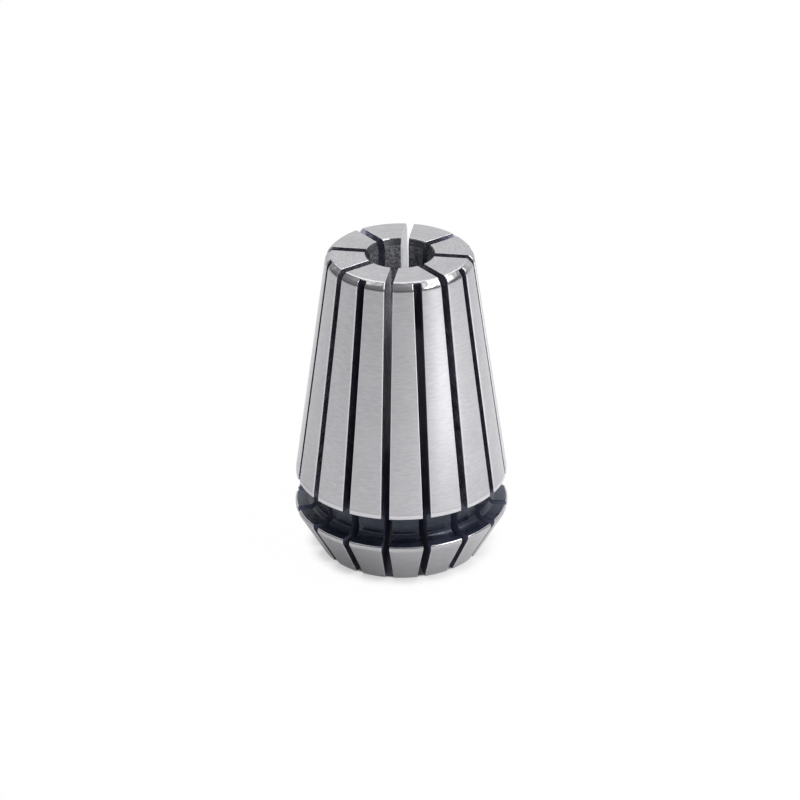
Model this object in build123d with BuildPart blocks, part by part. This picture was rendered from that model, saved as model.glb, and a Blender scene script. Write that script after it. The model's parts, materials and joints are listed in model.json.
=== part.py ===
from build123d import *
import os
from math import cos, hypot, radians, sin, sqrt, tan

# Spring collet, size 20: a hardened sleeve that a clamping nut pushes into an 8 degree socket, so that it
# closes on a 6 mm shank. It is one piece: turned from bar, bored, slit by a saw from both ends and ground.
# Millimetres. The origin is the centre of the front face, which it stands on, and +Z runs along the axis
# to the small end. One of the slots that come from the small end lies on +X.

# Nose and collar: the nut bears on the 30 degree nose and hooks into the groove behind the collar.
collar_diameter = 21.0
collar_height = 4.8
collar_land = 0.45
nose_half_angle = 30.0

# Pull-out groove
groove_width = 3.0
groove_depth = 1.8
groove_fillet = 0.6

# Clamping taper
overall_length = 31.5
taper_step_below_collar = 0.05
taper_half_angle = 8.0
small_end_chamfer = 0.5

# Bore and its mouths
bore_diameter = 6.0
mouth_half_angle = 30.0
small_end_mouth_depth = 0.7
front_mouth_depth = 0.9

# Saw slots: as many from each end, alternating round the axis
slots_per_end = 8
slot_width = 0.76
saw_diameter = 50.0
saw_reach_into_bore = 1.5
small_end_slot_inset = 0.2
front_slot_margin = 0.12

# Edges broken after turning and after sawing
collar_rim_break = 0.15
taper_rim_break = 0.15
slot_edge_break = 0.1

# Worked out from the sizes above
collar_radius = collar_diameter / 2
groove_radius = collar_radius - groove_depth
bore_radius = bore_diameter / 2
taper_start = collar_height + groove_width
taper_length = overall_length - taper_start
nose_length = collar_height - collar_land
front_radius = collar_radius - nose_length * tan(radians(nose_half_angle))
taper_radius = collar_radius - taper_step_below_collar
small_end_radius = taper_radius - taper_length * tan(radians(taper_half_angle))
small_mouth_radius = bore_radius + small_end_mouth_depth * tan(radians(mouth_half_angle))
front_mouth_radius = bore_radius + front_mouth_depth * tan(radians(mouth_half_angle))

# The saw's rim passes the bore wall but stays short of the far side, and its centre travels along the axis.
saw_radius = saw_diameter / 2
saw_rim_radius = bore_radius - saw_reach_into_bore
saw_centre_radius = saw_rim_radius + saw_radius


def run_out_rise(radius):
    """Height of the saw's rim beyond its centre, where it crosses a given radius of the collet."""
    return sqrt(saw_radius**2 - (saw_centre_radius - radius) ** 2)


# Slots from the small end leave a web at the front: the saw stops where it breaks out inside the front rim.
small_end_saw_stop = run_out_rise(front_radius - small_end_slot_inset)

# Slots from the front leave a web at the small end: the saw stops where it breaks out on that end's chamfer.
front_break_out_radius = small_end_radius - small_end_chamfer + front_slot_margin
front_saw_stop = overall_length - front_slot_margin - run_out_rise(front_break_out_radius)

slot_pitch = 360 / slots_per_end
half_pitch = slot_pitch / 2
widest_mouth_radius = max(front_mouth_radius, small_mouth_radius)
mid_flank_radius = (groove_radius + collar_radius) / 2


def outer_rim(height):
    """The widest circular edge of the blank at a height."""
    return edges().filter_by(GeomType.CIRCLE).filter_by_position(Axis.Z, height, height).sort_by(SortBy.RADIUS)[-1]


def distance_from_axis(edge):
    """Distance of an edge's middle from the collet's axis."""
    middle = edge @ 0.5
    return hypot(middle.X, middle.Y)


def slot_planes(first_angle):
    """Radial planes of one end's slots: x points outwards and y up the axis."""
    planes = []
    for slot in range(slots_per_end):
        angle = radians(first_angle + slot * slot_pitch)
        planes.append(
            Plane(origin=(0, 0, 0), x_dir=(cos(angle), sin(angle), 0), z_dir=(sin(angle), -cos(angle), 0))
        )
    return planes


with BuildPart() as collet:
    # Turned blank: half of the axial section, walked from the front mouth up the outside
    with BuildSketch(Plane.XZ):
        with BuildLine():
            FilletPolyline(
                (bore_radius, front_mouth_depth),
                (front_mouth_radius, 0),
                (front_radius, 0),
                (collar_radius, nose_length),
                (collar_radius, collar_height),
                (groove_radius, collar_height),
                (groove_radius, taper_start),
                (taper_radius, taper_start),
                (small_end_radius, overall_length),
                (small_mouth_radius, overall_length),
                (bore_radius, overall_length - small_end_mouth_depth),
                radius=(0, 0, 0, 0, 0, groove_fillet, groove_fillet, 0, 0, 0, 0),
                close=True,
            )
        make_face()
    revolve(axis=Axis.Z)
    chamfer(outer_rim(collar_height), collar_rim_break)
    chamfer(outer_rim(taper_start), taper_rim_break)
    chamfer(outer_rim(overall_length), small_end_chamfer)

    # Slots sawn from the small end, then from the front: the path of the saw is a disc and a straight run
    for first_angle, stop, run in (
        (0, small_end_saw_stop, overall_length),
        (half_pitch, front_saw_stop, -overall_length),
    ):
        with BuildSketch(*slot_planes(first_angle)):
            with Locations((saw_centre_radius, stop)):
                Circle(saw_radius)
            with Locations((saw_centre_radius, stop + run / 2)):
                Rectangle(saw_diameter, abs(run))
        extrude(amount=slot_width / 2, both=True, mode=Mode.SUBTRACT)

    # The saw's burrs are broken all along the outside: on the cones, where its edges are hyperbolas, and on
    # the collar's land, where they are upright.
    cone_edges = edges().filter_by(GeomType.HYPERBOLA)
    outside_edges = cone_edges.filter_by(lambda edge: distance_from_axis(edge) > widest_mouth_radius)
    land_edges = edges().filter_by(Axis.Z).filter_by(lambda edge: distance_from_axis(edge) > mid_flank_radius)
    chamfer(outside_edges + land_edges, slot_edge_break)

collet.part.label = "collet"
os.makedirs("parts", exist_ok=True)
export_step(collet.part, "parts/collet.step")
print("volume", round(collet.part.volume, 1), "mm3, small end radius", round(small_end_radius, 3))
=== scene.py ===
import json
from dataclasses import dataclass
from math import asin, atan2, cos, hypot, pi, radians, sin, sqrt, tan

import bpy
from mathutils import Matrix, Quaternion, Vector


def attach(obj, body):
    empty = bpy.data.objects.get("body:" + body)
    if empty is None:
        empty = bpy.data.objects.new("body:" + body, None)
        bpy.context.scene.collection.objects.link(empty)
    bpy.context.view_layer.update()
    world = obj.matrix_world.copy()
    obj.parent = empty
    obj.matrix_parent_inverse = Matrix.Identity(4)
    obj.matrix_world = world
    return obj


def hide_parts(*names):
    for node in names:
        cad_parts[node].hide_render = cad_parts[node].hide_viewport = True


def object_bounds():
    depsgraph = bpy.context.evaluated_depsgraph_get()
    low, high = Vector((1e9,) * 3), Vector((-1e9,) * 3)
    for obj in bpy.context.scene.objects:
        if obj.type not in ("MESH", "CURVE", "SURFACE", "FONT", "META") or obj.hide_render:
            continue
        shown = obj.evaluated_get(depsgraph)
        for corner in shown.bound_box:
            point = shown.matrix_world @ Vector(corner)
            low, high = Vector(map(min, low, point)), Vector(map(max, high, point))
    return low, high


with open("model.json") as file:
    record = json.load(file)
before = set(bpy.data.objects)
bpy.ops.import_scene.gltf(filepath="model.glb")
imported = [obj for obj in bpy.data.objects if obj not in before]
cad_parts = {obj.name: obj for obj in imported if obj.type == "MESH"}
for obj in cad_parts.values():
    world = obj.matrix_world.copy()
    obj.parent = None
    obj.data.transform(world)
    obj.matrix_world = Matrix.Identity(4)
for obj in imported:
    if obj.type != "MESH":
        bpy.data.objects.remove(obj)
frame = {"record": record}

# A spring collet as it leaves the grinder: bright ground lands, and black oxide wherever the wheel didn't
# reach. The sizes below are in millimetres, as on the maker's drawing; MM turns them into the frame's metres.
MM = 0.001
cad_low, cad_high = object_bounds()
mounts = {mount["name"]: mount for mount in frame["record"]["mounts"]}

# Turned and ground outline
overall_length = cad_high.z / MM
bore_radius = mounts["shank_bore"]["dims"]["r_mm"]
collar_radius = 10.5
collar_height = 4.8
collar_land = 0.45
nose_half_angle = radians(30)
groove_width = 3.0
groove_radius = 8.7
taper_radius = 10.45
taper_half_angle = radians(8)
taper_rim_land = 0.45
small_end_chamfer = 0.5
mouth_half_angle = radians(30)
small_end_mouth_depth = 0.7
front_mouth_depth = 0.9

# Roundings of the outline's corners, from the front mouth up the outside to the small end's mouth
front_mouth_rounding = 0.1
front_rim_rounding = 0.15
nose_rounding = 0.15
collar_back_rounding = 0.16
groove_fillet = 0.6
taper_rim_rounding = 0.15
rim_land_rounding = 0.3
chamfer_foot_rounding = 0.9
chamfer_top_rounding = 0.28
small_end_mouth_rounding = 0.08

# Saw slots
slots_per_end = 8
slot_width = 0.76
saw_radius = 25.0
saw_reach_into_bore = 1.5
small_end_slot_inset = 0.2
front_slot_margin = 0.12

# How far the saw's burrs are broken along the slots, and the run in which a break reaches its full depth
outside_edge_break = 0.12
groove_edge_break = 0.05
face_edge_break = 0.03
bore_edge_break = 0.03
edge_break_run_in = 0.3

# Worked out from the sizes above
taper_start = collar_height + groove_width
nose_length = collar_height - collar_land
front_radius = collar_radius - nose_length * tan(nose_half_angle)
small_end_radius = taper_radius - (overall_length - taper_start) * tan(taper_half_angle)
small_mouth_radius = bore_radius + small_end_mouth_depth * tan(mouth_half_angle)
front_mouth_radius = bore_radius + front_mouth_depth * tan(mouth_half_angle)
half_slot = slot_width / 2
saw_centre_radius = bore_radius - saw_reach_into_bore + saw_radius

# How finely each feature is faceted
ARC_STEP = radians(15)
LONGEST_STEP = 1.6
EDGE_STEPS = 3
LAND_STEPS = 8
WEB_STEPS = 2
FLOOR_STEPS = 16

# The finishes, in the order of the materials. Where two stretches of the outline meet, the rounding between
# them takes the finish that comes first.
# The burnished steel is a brighter ground steel: a painted highlight on broken edges and the rim land.
BURNISHED_HIGHLIGHT, GROUND, SAWN_DOWN, SAWN_UP, REAMED, WORN, BLACK = range(7)

UP = Vector((0, 0, 1))


# --- The outline of the axial section -----------------------------------------------------------------------


@dataclass
class Corner:
    """A corner of the axial section, with the finish and the edge break of the stretch that follows it."""

    radius: float
    height: float
    rounding: float
    finish: int
    edge_break: float


@dataclass(eq=False)
class OutlinePoint:
    """A point of the axial section, with its outward normal, the finish of the stretch that follows it, and
    how far the saw's burr is broken there."""

    radius: float
    height: float
    normal: tuple
    finish: int
    edge_break: float


def turned(direction, angle):
    """A direction in the section, turned anticlockwise."""
    return (
        direction[0] * cos(angle) - direction[1] * sin(angle),
        direction[0] * sin(angle) + direction[1] * cos(angle),
    )


def rounded_corner(corner, along, turn, trim, finish, edge_break):
    """Points round a corner, reached along a direction. Its rounding starts one trim before the corner."""
    normal = (along[1], -along[0])
    start = (corner.radius - along[0] * trim, corner.height - along[1] * trim)
    side = corner.rounding if turn > 0 else -corner.rounding
    steps = max(1, round(abs(turn) / ARC_STEP))
    points = []
    for step in range(steps):
        way = turned(normal, turn * step / steps)
        place = (start[0] + side * (way[0] - normal[0]), start[1] + side * (way[1] - normal[1]))
        points.append(OutlinePoint(*place, way, finish, edge_break))
    return points


def straight_stretch(corner, along, trim, length):
    """Points on the straight that follows a corner, from the end of its rounding."""
    normal = (along[1], -along[0])
    steps = max(1, round(length / LONGEST_STEP))
    points = []
    for step in range(steps):
        travel = trim + length * step / steps
        place = (corner.radius + along[0] * travel, corner.height + along[1] * travel)
        points.append(OutlinePoint(*place, normal, corner.finish, corner.edge_break))
    return points


def outline(corners):
    """Walks the closed section, with the metal on its left, and rounds its corners."""
    runs = []
    for corner, following in zip(corners, corners[1:] + corners[:1]):
        step = (following.radius - corner.radius, following.height - corner.height)
        length = hypot(*step)
        runs.append((length, (step[0] / length, step[1] / length)))
    turns = []
    trims = []
    for i, corner in enumerate(corners):
        before, after = runs[i - 1][1], runs[i][1]
        cross = before[0] * after[1] - before[1] * after[0]
        dot = before[0] * after[0] + before[1] * after[1]
        turns.append(atan2(cross, dot))
        trims.append(corner.rounding * tan(abs(turns[i]) / 2))
    points = []
    for i, corner in enumerate(corners):
        finish = min(corner.finish, corners[i - 1].finish)
        edge_break = min(corner.edge_break, corners[i - 1].edge_break)
        points += rounded_corner(corner, runs[i - 1][1], turns[i], trims[i], finish, edge_break)
        length, along = runs[i]
        straight = length - trims[i] - trims[(i + 1) % len(corners)]
        points += straight_stretch(corner, along, trims[i], straight)
    return points


def insert_on(points, radius, height):
    """Adds a point to the straight stretch of the outline that passes through it, and returns it."""

    def detour(i):
        """How much longer the way from one point to the next is through the new one."""
        here, there = points[i], points[(i + 1) % len(points)]
        first = hypot(radius - here.radius, height - here.height)
        second = hypot(there.radius - radius, there.height - height)
        return first + second - hypot(there.radius - here.radius, there.height - here.height)

    i = min(range(len(points)), key=detour)
    here = points[i]
    added = OutlinePoint(radius, height, here.normal, here.finish, here.edge_break)
    points.insert(i + 1, added)
    return added


def run_out_rise(radius):
    """Height of the saw's rim beyond its centre, where it crosses a radius of the collet."""
    return sqrt(saw_radius**2 - (saw_centre_radius - radius) ** 2)


# --- The mesh -----------------------------------------------------------------------------------------------


class Skin:
    """Vertices and faces of the collet, each face with a finish and a normal at each corner."""

    def __init__(self):
        self.places = []
        self.faces = []
        self.finishes = []
        self.normals = []

    def vertex(self, place):
        """Adds a vertex, in millimetres, and returns its number."""
        self.places.append(place)
        return len(self.places) - 1

    def face(self, corners, normals, finish):
        """Adds a face, turned so that it looks the way that its normals do."""
        facing = Vector((0, 0, 0))
        for i, corner in enumerate(corners):
            facing += self.places[corners[i - 1]].cross(self.places[corner])
        if facing.dot(sum(normals, Vector((0, 0, 0)))) < 0:
            corners, normals = corners[::-1], normals[::-1]
        self.faces.append(corners)
        self.finishes.append(finish)
        self.normals.extend(normals)

    def build(self, name, materials):
        """Makes the skin an object of the scene, in metres, with one material for each finish."""
        mesh = bpy.data.meshes.new(name)
        mesh.from_pydata([place * MM for place in self.places], [], self.faces)
        for material in materials:
            mesh.materials.append(material)
        mesh.polygons.foreach_set("material_index", self.finishes)
        mesh.polygons.foreach_set("use_smooth", [True] * len(self.faces))
        mesh.normals_split_custom_set(self.normals)
        mesh.update()
        piece = bpy.data.objects.new(name, mesh)
        bpy.context.scene.collection.objects.link(piece)
        return piece


class Slot:
    """One saw slot: its bearing round the axis, the rows of the outline that it cuts, the height of the saw's
    centre where it stopped, and its rise: -1 where the saw came from the small end, so that its rim reaches
    below that centre, and 1 where it came from the front."""

    def __init__(self, bearing, cut_rows, saw_height, rise):
        self.bearing = bearing
        self.outward = Vector((cos(bearing), sin(bearing), 0))
        self.across = Vector((-sin(bearing), cos(bearing), 0))
        self.cut_rows = cut_rows
        self.saw_height = saw_height
        self.rise = rise
        if rise < 0:
            self.finish = SAWN_DOWN
            self.outer_row, self.inner_row = cut_rows[0], cut_rows[-1]
        else:
            self.finish = SAWN_UP
            self.outer_row, self.inner_row = cut_rows[-1], cut_rows[0]

    def place(self, reach, aside, height):
        """A point beside the slot's middle plane, in millimetres."""
        return self.outward * reach + self.across * aside + UP * height


def burr_ramp(points, rows):
    """How fully the saw's burr is broken along a slot: nothing where it ends, all of it a little way in."""
    travelled = [0]
    for before, row in zip(rows, rows[1:]):
        here, there = points[before], points[row]
        travelled.append(travelled[-1] + hypot(there.radius - here.radius, there.height - here.height))
    return {
        row: min(1, travel / edge_break_run_in, (travelled[-1] - travel) / edge_break_run_in)
        for row, travel in zip(rows, travelled)
    }


# The lands and webs are one grid round the axis. Each of its columns follows the outline at one bearing, as
# {row of the outline: (vertex, normal, whether the saw's burr is broken there)}.


def surface_entry(skin, point, bearing):
    """A column's entry on the turned surface, at a bearing round the axis."""
    outward = Vector((cos(bearing), sin(bearing), 0))
    place = outward * point.radius + UP * point.height
    return skin.vertex(place), outward * point.normal[0] + UP * point.normal[1], False


def edge_columns(skin, points, slot, side, ramp):
    """Columns over the broken edge on one side of a slot, from its wall out to the land."""
    columns = []
    for step in range(EDGE_STEPS + 1):
        roll = pi / 2 * step / EDGE_STEPS
        column = {}
        for row, point in enumerate(points):
            full = ramp.get(row, 0)
            sunk = point.edge_break * (1 - sin(roll)) * full
            aside = half_slot + point.edge_break * (1 - cos(roll))
            reach = point.radius - sunk * point.normal[0]
            inward = sqrt(reach**2 - aside**2)
            place = slot.place(inward, side * aside, point.height - sunk * point.normal[1])
            outward = (slot.outward * inward + slot.across * side * aside) / reach
            surface = outward * point.normal[0] + UP * point.normal[1]
            normal = surface * (1 - full * (1 - sin(roll))) - slot.across * side * cos(roll) * full
            column[row] = (skin.vertex(place), normal.normalized(), full > 0)
        columns.append(column)
    return columns


def web_columns(skin, points, slot, ramp):
    """Columns between a slot's two sides, where the saw left a web past the slot's ends."""
    columns = []
    for step in range(1, WEB_STEPS):
        aside = half_slot * (2 * step / WEB_STEPS - 1)
        column = {}
        for row, point in enumerate(points):
            if ramp.get(row, 0) == 0:
                column[row] = surface_entry(skin, point, slot.bearing + asin(aside / point.radius))
        columns.append(column)
    return columns


def land_columns(skin, points, slot, pitch):
    """Columns over the land between a slot and the next one."""
    columns = []
    for step in range(1, LAND_STEPS):
        share = step / LAND_STEPS
        column = {}
        for row, point in enumerate(points):
            margin = asin((half_slot + point.edge_break) / point.radius)
            bearing = slot.bearing + margin + (pitch - 2 * margin) * share
            column[row] = surface_entry(skin, point, bearing)
        columns.append(column)
    return columns


def add_slot_floor(skin, points, slot, columns):
    """Adds the floor that the saw's rim left, from the bore to the outside, between the columns at the slot's
    walls. Returns its vertices along each wall, without the ends that it shares with the columns."""
    saw_centre = slot.place(saw_centre_radius, 0, slot.saw_height)

    def to_saw(vertex):
        """Normal of the floor at a vertex, towards the saw's axis."""
        towards = saw_centre - skin.places[vertex]
        return (towards - slot.across * towards.dot(slot.across)).normalized()

    inner_radius, outer_radius = points[slot.inner_row].radius, points[slot.outer_row].radius
    between = []
    for step in range(1, FLOOR_STEPS):
        reach = inner_radius + (outer_radius - inner_radius) * step / FLOOR_STEPS
        height = slot.saw_height + slot.rise * run_out_rise(reach)
        station = []
        for column in range(WEB_STEPS + 1):
            aside = half_slot * (2 * column / WEB_STEPS - 1)
            station.append(skin.vertex(slot.place(reach, aside, height)))
        between.append(station)
    innermost = [column[slot.inner_row][0] for column in columns]
    outermost = [column[slot.outer_row][0] for column in columns]
    stations = [innermost, *between, outermost]
    for here, there in zip(stations, stations[1:]):
        for i in range(WEB_STEPS):
            corners = [here[i], here[i + 1], there[i + 1], there[i]]
            skin.face(corners, [to_saw(corner) for corner in corners], slot.finish)
    return {-1: [station[0] for station in between], 1: [station[-1] for station in between]}


def add_slot_walls(skin, slot, edges, floor_lines):
    """Adds a slot's two flat walls, each bounded by the outline and by the slot's floor."""
    for side in (-1, 1):
        rim = [edges[side][0][row][0] for row in slot.cut_rows]
        floor_line = floor_lines[side] if slot.rise < 0 else floor_lines[side][::-1]
        corners = rim + floor_line
        skin.face(corners, [slot.across * -side] * len(corners), slot.finish)


def add_grid(skin, points, columns):
    """Adds the faces between neighbouring columns all round the axis, wherever the metal wasn't sawn away.
    The broken edges of ground surfaces take the burnished finish, a painted highlight of brighter steel."""
    for column, neighbour in zip(columns, columns[1:] + columns[:1]):
        for row, point in enumerate(points):
            after = (row + 1) % len(points)
            corners = [column.get(row), neighbour.get(row), neighbour.get(after), column.get(after)]
            if None not in corners:
                vertices, normals, broken = zip(*corners)
                on_edge = (broken[0] and broken[1]) or (broken[2] and broken[3])
                finish = BURNISHED_HIGHLIGHT if on_edge and point.finish == GROUND else point.finish
                skin.face(list(vertices), list(normals), finish)


def collet_skin(points, small_end_cut, front_cut):
    """The whole surface of the collet. Each cut is what a Slot takes after its bearing."""
    skin = Skin()
    pitch = pi / slots_per_end
    columns = []
    for i in range(2 * slots_per_end):
        slot = Slot(i * pitch, *(front_cut if i % 2 else small_end_cut))
        ramp = burr_ramp(points, slot.cut_rows)
        edges = {side: edge_columns(skin, points, slot, side, ramp) for side in (-1, 1)}
        web = web_columns(skin, points, slot, ramp)
        floor_lines = add_slot_floor(skin, points, slot, (edges[-1][0], *web, edges[1][0]))
        add_slot_walls(skin, slot, edges, floor_lines)
        columns += edges[-1][::-1] + web + edges[1] + land_columns(skin, points, slot, pitch)
    add_grid(skin, points, columns)
    return skin


def make_collet(materials):
    """The collet as one skin, with its slots, in the frame's metres."""
    end_radius = small_end_radius - small_end_chamfer
    chamfer_depth = small_end_chamfer * cos(taper_half_angle)
    chamfer_foot = overall_length - chamfer_depth
    chamfer_foot_radius = small_end_radius + small_end_chamfer * sin(taper_half_angle)
    rim_radius = taper_radius - taper_rim_land * tan(taper_half_angle)
    rim_top = taper_start + taper_rim_land
    mouth_foot = overall_length - small_end_mouth_depth

    # From the front mouth up the outside to the small end's mouth, and back down the bore
    points = outline(
        (
            Corner(bore_radius, front_mouth_depth, front_mouth_rounding, WORN, bore_edge_break),
            Corner(front_mouth_radius, 0, front_mouth_rounding, GROUND, face_edge_break),
            Corner(front_radius, 0, front_rim_rounding, GROUND, outside_edge_break),
            Corner(collar_radius, nose_length, nose_rounding, GROUND, outside_edge_break),
            Corner(collar_radius, collar_height, collar_back_rounding, BLACK, groove_edge_break),
            Corner(groove_radius, collar_height, groove_fillet, BLACK, groove_edge_break),
            Corner(groove_radius, taper_start, groove_fillet, BLACK, groove_edge_break),
            # The taper's rim land is burnished: brighter steel, a painted highlight band.
            Corner(rim_radius, taper_start, taper_rim_rounding, BURNISHED_HIGHLIGHT, outside_edge_break),
            Corner(rim_radius, rim_top, rim_land_rounding, GROUND, outside_edge_break),
            Corner(chamfer_foot_radius, chamfer_foot, chamfer_foot_rounding, GROUND, outside_edge_break),
            Corner(end_radius, overall_length, chamfer_top_rounding, GROUND, face_edge_break),
            Corner(small_mouth_radius, overall_length, small_end_mouth_rounding, WORN, bore_edge_break),
            Corner(bore_radius, mouth_foot, small_end_mouth_rounding, REAMED, bore_edge_break),
        )
    )

    # Where each saw broke out of the metal: inside the front rim, on the small end's chamfer, and in the bore
    front_break_out = front_radius - small_end_slot_inset
    small_end_saw = run_out_rise(front_break_out)
    end_break_out = end_radius + front_slot_margin
    end_break_out_drop = front_slot_margin * chamfer_depth / (chamfer_foot_radius - end_radius)
    end_break_out_height = overall_length - end_break_out_drop
    front_saw = end_break_out_height - run_out_rise(end_break_out)
    at_front = insert_on(points, front_break_out, 0)
    at_small_end = insert_on(points, end_break_out, end_break_out_height)
    low_in_bore = insert_on(points, bore_radius, small_end_saw - run_out_rise(bore_radius))
    high_in_bore = insert_on(points, bore_radius, front_saw + run_out_rise(bore_radius))

    def rows_between(first, last):
        """Rows of the outline from one point to another, the way it is walked."""
        start, stop = points.index(first), points.index(last)
        if stop < start:
            stop += len(points)
        return [row % len(points) for row in range(start, stop + 1)]

    skin = collet_skin(
        points,
        (rows_between(at_front, low_in_bore), small_end_saw, -1),
        (rows_between(high_in_bore, at_small_end), front_saw, 1),
    )
    collet = skin.build("slit_collet", materials)
    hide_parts("collet")
    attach(collet, "root")


# --- Finishes -----------------------------------------------------------------------------------------------


class Signal:
    """A number carried by a node's socket. Arithmetic on it adds the Math nodes."""

    def __init__(self, finish, socket):
        self.finish = finish
        self.socket = socket

    def maths(self, operation, *others):
        """What a Math node gives, with this number as its first input."""
        sockets = dict(enumerate((self, *others)))
        return self.finish.node("ShaderNodeMath", {"operation": operation}, sockets).value()

    def __add__(self, other):
        return self.maths("ADD", other)

    def __sub__(self, other):
        return self.maths("SUBTRACT", other)

    def __rsub__(self, other):
        return self.maths("MULTIPLY_ADD", -1, other)

    def __mul__(self, other):
        return self.maths("MULTIPLY", other)

    def __pow__(self, other):
        return self.maths("POWER", other)

    __radd__ = __add__
    __rmul__ = __mul__


class Step:
    """A node that has been added to a finish."""

    def __init__(self, finish, node):
        self.finish = finish
        self.node = node

    def value(self, output=0):
        """One output of the node, by its name or its number."""
        return Signal(self.finish, self.node.outputs[output])


class Finish:
    """The nodes of a material, or of the studio's surroundings, under construction."""

    def __init__(self, owner):
        self.owner = owner
        owner.use_nodes = True
        self.tree = owner.node_tree
        self.tree.nodes.clear()

    def node(self, kind, settings=None, sockets=None):
        """Adds a node: its settings first, then a number, a colour or a link for each socket named."""
        node = self.tree.nodes.new(kind)
        for setting, choice in (settings or {}).items():
            setattr(node, setting, choice)
        for socket, value in (sockets or {}).items():
            if isinstance(value, Signal):
                self.tree.links.new(value.socket, node.inputs[socket])
            else:
                node.inputs[socket].default_value = value
        return Step(self, node)

    def place(self):
        """Where a point lies in the frame, in metres."""
        return self.node("ShaderNodeTexCoord").value("Object")

    def parts(self, place):
        """The three numbers of a place."""
        split = self.node("ShaderNodeSeparateXYZ", None, {"Vector": place})
        return split.value("X"), split.value("Y"), split.value("Z")

    def joined(self, x, y, z):
        """The place with these three numbers."""
        return self.node("ShaderNodeCombineXYZ", None, {"X": x, "Y": y, "Z": z}).value("Vector")

    def round_the_axis(self, across):
        """Where a point lies for marks that run round the collet, on flat faces as well as on cones. They are
        drawn out round the axis, the more so the smaller across is, and fine along the outline."""
        shift_by_radius = 0.73
        x, y, height = self.parts(self.place())
        return self.joined(x * across, y * across, height + from_axis(x, y) * shift_by_radius)

    def noise(self, place, scale, detail=2.0, roughness=0.5):
        """Smooth random value about 0.5. The scale is how many of its waves go into a metre."""
        sockets = {"Vector": place, "Scale": scale, "Detail": detail, "Roughness": roughness}
        return self.node("ShaderNodeTexNoise", None, sockets).value("Fac")

    def between(self, value, low, high, from_low=0.0, from_high=1.0):
        """From low to high, smoothly, as a value goes from one number to another, and held at both ends."""
        sockets = {"Value": value, "From Min": from_low, "From Max": from_high, "To Min": low, "To Max": high}
        return self.node("ShaderNodeMapRange", {"interpolation_type": "SMOOTHSTEP"}, sockets).value("Result")

    def contrast(self, value, from_low, from_high):
        """From 0 to 1 as a value goes from one number to another, to bring out the middle of its range."""
        return self.between(value, 0.0, 1.0, from_low, from_high)

    def over(self, distance, first, last, low=0.0, high=1.0):
        """From low to high, smoothly, over the stretch between two distances in millimetres."""
        return self.between(distance, low, high, first * MM, last * MM)

    def blend(self, share, first, second):
        """A colour between two others. A Mix node takes colours at sockets 6 and 7, and gives one at 2."""
        sockets = {"Factor": share, 6: first, 7: second}
        return self.node("ShaderNodeMix", {"data_type": "RGBA"}, sockets).value(2)

    def bump(self, height, strength, depth):
        """A normal tilted by fine relief, its full depth in millimetres."""
        sockets = {"Strength": strength, "Distance": depth * MM, "Height": height}
        return self.node("ShaderNodeBump", None, sockets).value("Normal")

    def surface(self, sockets):
        """Ends the material in one Principled shader."""
        shader = self.node("ShaderNodeBsdfPrincipled", {"distribution": "MULTI_GGX"}, sockets)
        self.node("ShaderNodeOutputMaterial", None, {"Surface": shader.value("BSDF")})
        return self.owner


def from_axis(x, y):
    """Distance of a place from the collet's axis."""
    return (x * x + y * y) ** 0.5


def ground_steel(name, dark, bright):
    """Hardened steel off the cylindrical grinder: satin, with fine marks round the axis, and a darker line
    where the wheel ran out above the taper's rim land. The small end was polished by hand: it is wavy, and
    its chamfer a little duller. The two colours are the steel's least and most bright."""
    run_out_line = taper_start + taper_rim_land + 0.1
    chamfer_foot = overall_length - small_end_chamfer
    ground_waviness, polished_waviness = 3, 110
    finish = Finish(bpy.data.materials.new(name))
    fine = finish.noise(finish.round_the_axis(across=0.035), 22000, roughness=0.6)
    satin = finish.noise(finish.round_the_axis(across=0.15), 8500)
    place = finish.place()
    height = finish.parts(place)[2]
    cloud = finish.noise(place, 260, detail=3.0)
    from_run_out = (height - run_out_line * MM).maths("ABSOLUTE")
    run_out = finish.over(from_run_out, 0.03, 0.13, 0.8, 0.0)
    tone = finish.contrast(satin * 0.65 + cloud * 0.35, 0.38, 0.62)
    colour = finish.blend(tone - run_out, dark, bright)
    polished = finish.over(height, chamfer_foot - 0.1, chamfer_foot + 0.1)
    on_face = finish.over(height, overall_length - 0.14, overall_length - 0.02)
    ground_roughness = finish.between(fine * 0.4 + cloud * 0.6, 0.19, 0.24, 0.35, 0.65)
    roughness = ground_roughness + (polished - on_face) * 0.05
    waves = (finish.noise(place, 600) - 0.5) * (polished * polished_waviness + ground_waviness)
    bump = finish.bump(waves + fine * 0.2, 1.0, 0.001)
    return finish.surface({"Base Color": colour, "Metallic": 1.0, "Roughness": roughness, "Normal": bump})


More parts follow.
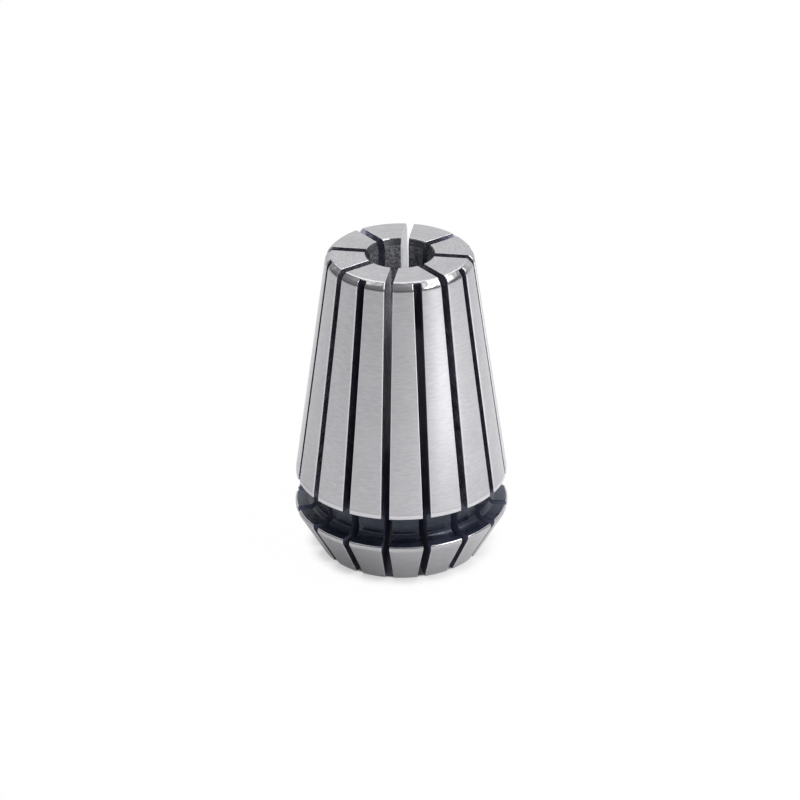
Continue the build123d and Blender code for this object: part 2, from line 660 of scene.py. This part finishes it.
def sawn_steel(name, rise, smoothing_and_nose_shade, dark, bright):
    """The slots as the slitting saw left them: dark, specked steel with the arcs of the saw's teeth, and a
    lighter, dull bluish band beside the groove: painted light that lifts the deep shade there. The rise
    is the slot's own. Handling, from 0 to 1, is how far use has smoothed the steel towards the small end,
    and how deep a painted shade darkens it near the nose."""
    # Painted shade: near the nose the slots are blended towards this dark blue, most at 3 mm and not from 9
    # mm.
    painted_nose_shade = (0.06, 0.065, 0.10, 1)
    # Painted light: a lighter bluish tint on the slot walls beside the groove, lifting their deep shade.
    painted_light_tint = (0.26, 0.28, 0.40, 1)
    painted_light_middle = collar_height + groove_width * 0.4
    finish = Finish(bpy.data.materials.new(name))
    place = finish.place()
    x, y, height = finish.parts(place)
    to_centre = saw_centre_radius * MM - from_axis(x, y)
    rim = ((saw_radius * MM) ** 2 - to_centre * to_centre) ** 0.5
    teeth_at = finish.joined(x * 0.2, y * 0.2, height - rim * rise)
    teeth = finish.noise(teeth_at, 3600, detail=3.0, roughness=0.65)
    specks = finish.noise(place, 7000, roughness=0.6)
    cloud = finish.noise(place, 700, detail=3.0)
    tone = finish.contrast(cloud * 0.25 + teeth * 0.4 + specks * 0.35, 0.38, 0.63)
    # How much painted shade darkens the slots near the nose.
    painted_nose_shade_share = finish.over(height, 3, 9, 0.5 * smoothing_and_nose_shade, 0.0)
    steel = finish.blend(painted_nose_shade_share, finish.blend(tone, dark, bright), painted_nose_shade)
    # The band of painted light round the groove's middle, where the steel is also made duller.
    off_painted_light_middle = (height - painted_light_middle * MM).maths("ABSOLUTE")
    painted_light_and_dull_band = finish.over(off_painted_light_middle, 1.2, 2.4, 1.0, 0.0)
    colour = finish.blend(painted_light_and_dull_band, steel, painted_light_tint)
    smoothed = finish.over(height, 23, 30)
    sawn_roughness = finish.between(teeth, 0.30, 0.42, 0.3, 0.7)
    roughness = sawn_roughness - smoothed * 0.24 * smoothing_and_nose_shade + painted_light_and_dull_band * 0.3
    bump = finish.bump(teeth * 0.8 + specks * 0.2, 1.0, 0.014)
    return finish.surface({"Base Color": colour, "Metallic": 0.8, "Roughness": roughness, "Normal": bump})


def reamed_steel():
    """The bore: grey steel with streaks along it and a dull, patchy skin."""
    dull, bright = (0.16, 0.165, 0.19, 1), (0.54, 0.54, 0.57, 1)
    finish = Finish(bpy.data.materials.new("reamed_steel"))
    place = finish.place()
    x, y, height = finish.parts(place)
    streaks = finish.noise(finish.joined(x, y, height * 0.12), 4200, detail=3.0, roughness=0.6)
    patches = finish.noise(place, 4200, detail=3.0, roughness=0.6)
    skin = streaks * 0.3 + patches * 0.7
    colour = finish.blend(finish.contrast(skin, 0.36, 0.66), dull, bright)
    roughness = finish.between(patches, 0.22, 0.38, 0.35, 0.65)
    bump = finish.bump(skin, 0.4, 0.004)
    return finish.surface({"Base Color": colour, "Metallic": 0.6, "Roughness": roughness, "Normal": bump})


def worn_oxide():
    """The mouths of the bore: black oxide, rubbed down to bright steel along their rims by the shanks that
    went in. Height is taken from half way up the collet, so that the same nodes serve both mouths."""
    oxide, bare_steel = (0.036, 0.038, 0.047, 1), (0.60, 0.60, 0.62, 1)
    half_length = overall_length / 2
    mouth_depth = (small_end_mouth_depth + front_mouth_depth) / 2
    mouth_middle = half_length - mouth_depth / 2
    finish = Finish(bpy.data.materials.new("worn_oxide"))
    place = finish.place()
    height = finish.parts(place)[2]
    grain = finish.noise(place, 5200, detail=3.0, roughness=0.65)
    cloud = finish.noise(place, 1300, detail=3.0, roughness=0.6)
    from_half_way = (height - half_length * MM).maths("ABSOLUTE")
    off_mouth_middle = (from_half_way - mouth_middle * MM).maths("ABSOLUTE")
    at_rim = finish.over(off_mouth_middle, 0.26, 0.35, 0.0, 0.45)
    rubbed = finish.contrast(cloud * 0.4 + grain * 0.4 + at_rim, 0.43, 0.68)
    colour = finish.blend(rubbed, oxide, bare_steel)
    roughness = finish.between(rubbed, 0.45, 0.26)
    bump = finish.bump(rubbed, 0.5, 0.006)
    return finish.surface(
        {"Base Color": colour, "Metallic": rubbed * 0.8, "Roughness": roughness, "Normal": bump}
    )


def black_oxide():
    """The blackened skin left by heat treatment in the groove: near black, a little blue, over turning marks,
    with a lighter, bluer tone painted on the collar's back: painted light that lifts the deep shade there."""
    black, blue_black = (0.002, 0.003, 0.010, 1), (0.008, 0.0095, 0.022, 1)
    # Painted light: a lighter, bluer tone for the collar's back, lifting the deep shade under the taper's
    # rim.
    painted_light_tint = (0.034, 0.040, 0.064, 1)
    finish = Finish(bpy.data.materials.new("black_oxide"))
    place = finish.place()
    height = finish.parts(place)[2]
    grain = finish.noise(place, 5200, detail=3.0, roughness=0.65)
    cloud = finish.noise(place, 900, detail=3.0)
    marks = finish.noise(finish.round_the_axis(across=0.04), 4600, roughness=0.6)
    tone = finish.contrast(cloud * 0.4 + marks * 0.6, 0.35, 0.65)
    painted_light_on_collar = finish.over(height, collar_height + 0.03, collar_height + 0.2, 1.0, 0.0)
    colour = finish.blend(painted_light_on_collar * (tone * 0.6 + 0.35), finish.blend(tone, black, blue_black), painted_light_tint)
    roughness = finish.between(cloud * 0.5 + marks * 0.5, 0.22, 0.42, 0.38, 0.62)
    bump = finish.bump(marks * 0.6 + grain * 0.4, 0.9, 0.019)
    return finish.surface(
        {
            "Base Color": colour,
            "Roughness": roughness,
            "IOR": 1.68,
            "Specular Tint": (0.72, 0.81, 1.0, 1),
            "Normal": bump,
        }
    )


# --- Studio -------------------------------------------------------------------------------------------------

# The camera stands off the collet's front, looking down at its middle. Bearing, elevation and roll are in
# degrees, the distance in metres, the lens and its sensor in millimetres. It aims x to the right of the axis,
# as it sees it, and z above the floor.
camera_bearing = 8.905
camera_elevation = 27.737
camera_roll = -0.412
camera_distance = 0.38859
camera_lens = 178.62
camera_sensor_width = 36
aim = Vector((-0.085, 0, 15.495)) * MM


def direction(bearing, elevation):
    """Unit vector from the collet, in degrees: the bearing to the right of the camera's own, and the
    elevation above the floor."""
    turn, rise = radians(bearing + camera_bearing), radians(elevation)
    return Vector((sin(turn) * cos(rise), -cos(turn) * cos(rise), sin(rise)))


def place_camera():
    """The camera, level but for its roll."""
    data = bpy.data.cameras.new("camera")
    data.lens = camera_lens
    data.sensor_width = camera_sensor_width
    data.clip_start, data.clip_end = 0.01, 10
    camera = bpy.data.objects.new("camera", data)
    bpy.context.scene.collection.objects.link(camera)
    back = direction(0, camera_elevation)
    right = Vector((cos(radians(camera_bearing)), sin(radians(camera_bearing)), 0))
    camera.location = right * aim.x + UP * aim.z + back * camera_distance
    camera.rotation_mode = "QUATERNION"
    level = (-back).to_track_quat("-Z", "Y")
    camera.rotation_quaternion = level @ Quaternion((0, 0, 1), radians(camera_roll))
    bpy.context.scene.camera = camera


def softbox(name, place, target, width, height, watts, roll=0):
    """A flat lamp at a place, facing a target. Its width is level, or rolled from there by some degrees."""
    data = bpy.data.lights.new(name, "AREA")
    data.shape = "RECTANGLE"
    data.size, data.size_y = width, height
    data.energy = watts
    lamp = bpy.data.objects.new(name, data)
    bpy.context.scene.collection.objects.link(lamp)
    lamp.location = place
    lamp.rotation_mode = "QUATERNION"
    level = (target - place).to_track_quat("-Z", "Y")
    lamp.rotation_quaternion = level @ Quaternion((0, 0, 1), radians(roll))


def paper_floor():
    """A sheet of white paper. The camera sees it as plain white but for the collet's soft shadow at its foot,
    and metal mirrors it whiter than the lamps make it, the more so further off."""
    half_width = 1.5
    shadow_reach = 2.2
    paper = Finish(bpy.data.materials.new("floor_paper"))
    path = paper.node("ShaderNodeLightPath")
    seen = path.value("Is Camera Ray").maths("MAXIMUM", path.value("Is Transmission Ray"))
    mirrored = path.value("Is Glossy Ray")
    occlusion = paper.node("ShaderNodeAmbientOcclusion", {"samples": 8}, {"Distance": shadow_reach * MM})
    in_the_open = paper.between(occlusion.value("AO"), 0.5, 0.99, 0.30, 0.80)
    x, y, _ = paper.parts(paper.place())
    radius = from_axis(x, y)
    off_the_front = paper.over(radius, front_radius - 0.4, front_radius)
    glow = mirrored * paper.over(radius, 40, 160, 0.13, 0.34)
    share = (seen * in_the_open + glow) * off_the_front
    sheet = paper.node("ShaderNodeBsdfDiffuse", None, {"Color": (0.88, 0.88, 0.88, 1)}).value("BSDF")
    white = paper.node("ShaderNodeEmission", None, {"Strength": 1.0}).value("Emission")
    shown = paper.node("ShaderNodeMixShader", None, {0: share, 1: sheet, 2: white}).value("Shader")
    paper.node("ShaderNodeOutputMaterial", None, {"Surface": shown})
    low, high = -half_width, half_width
    mesh = bpy.data.meshes.new("floor")
    mesh.from_pydata([(low, low, 0), (high, low, 0), (high, high, 0), (low, high, 0)], [], [(0, 1, 2, 3)])
    mesh.materials.append(paper.owner)
    floor = bpy.data.objects.new("floor", mesh)
    bpy.context.scene.collection.objects.link(floor)


def surroundings():
    """A white backdrop behind the collet, and a dim room behind the camera, a little lighter overhead."""
    room = Finish(bpy.data.worlds.new("studio"))
    bpy.context.scene.world = room.owner
    seen = room.node("ShaderNodeLightPath").value("Is Camera Ray")
    way = room.node("ShaderNodeTexCoord").value("Generated")
    backdrop = direction(172, 0)
    facing = room.node("ShaderNodeVectorMath", {"operation": "DOT_PRODUCT"}, {0: way, 1: backdrop})
    behind_camera = room.between(room.parts(way)[2], 0.12, 0.28, 0.0, 0.55)
    strength = room.between(facing.value("Value"), behind_camera, 0.91, 0.40, 0.75).maths("MAXIMUM", seen)
    light = room.node("ShaderNodeBackground", None, {"Color": (1, 1, 1, 1), "Strength": strength})
    room.node("ShaderNodeOutputWorld", None, {"Surface": light.value("Background")})


def studio():
    """Paper floor, white backdrop and camera, with a large soft lamp overhead, two small ones at the right,
    and a low strip that lights the floor there. The lamps are sized and placed in metres."""
    paper_floor()
    surroundings()
    middle = UP * (overall_length / 2 * MM)
    overhead = middle + direction(180, 71) * 0.35
    softbox("overhead_softbox", overhead, middle, width=0.49, height=0.388, watts=0.82)
    high_right = middle + direction(80, 51.8) * 0.16
    softbox("key_softbox", high_right, middle, width=0.066, height=0.056, watts=0.061, roll=-37)
    right = middle + direction(60, 35) * 0.16
    softbox("side_softbox", right, middle, width=0.089, height=0.045, watts=0.080)
    beside = direction(52, 0)
    over_floor = beside * 0.156 + UP * 0.034
    softbox("floor_strip", over_floor, beside * 0.162, width=0.034, height=0.176, watts=0.047)
    place_camera()
    bpy.context.scene.view_settings.view_transform = "Standard"


make_collet(
    (
        # Brighter steel for the burnished edges and rim land: a painted highlight.
        ground_steel("burnished_highlight_steel", dark=(0.64, 0.63, 0.66, 1), bright=(0.70, 0.69, 0.72, 1)),
        ground_steel("ground_steel", dark=(0.482, 0.479, 0.501, 1), bright=(0.546, 0.542, 0.567, 1)),
        sawn_steel(
            "sawn_from_small_end",
            rise=-1,
            smoothing_and_nose_shade=1.0,
            dark=(0.12, 0.125, 0.17, 1),
            bright=(0.56, 0.565, 0.65, 1),
        ),
        sawn_steel(
            "sawn_from_front",
            rise=1,
            smoothing_and_nose_shade=0.0,
            dark=(0.14, 0.145, 0.20, 1),
            bright=(0.28, 0.29, 0.37, 1),
        ),
        reamed_steel(),
        worn_oxide(),
        black_oxide(),
    )
)
studio()
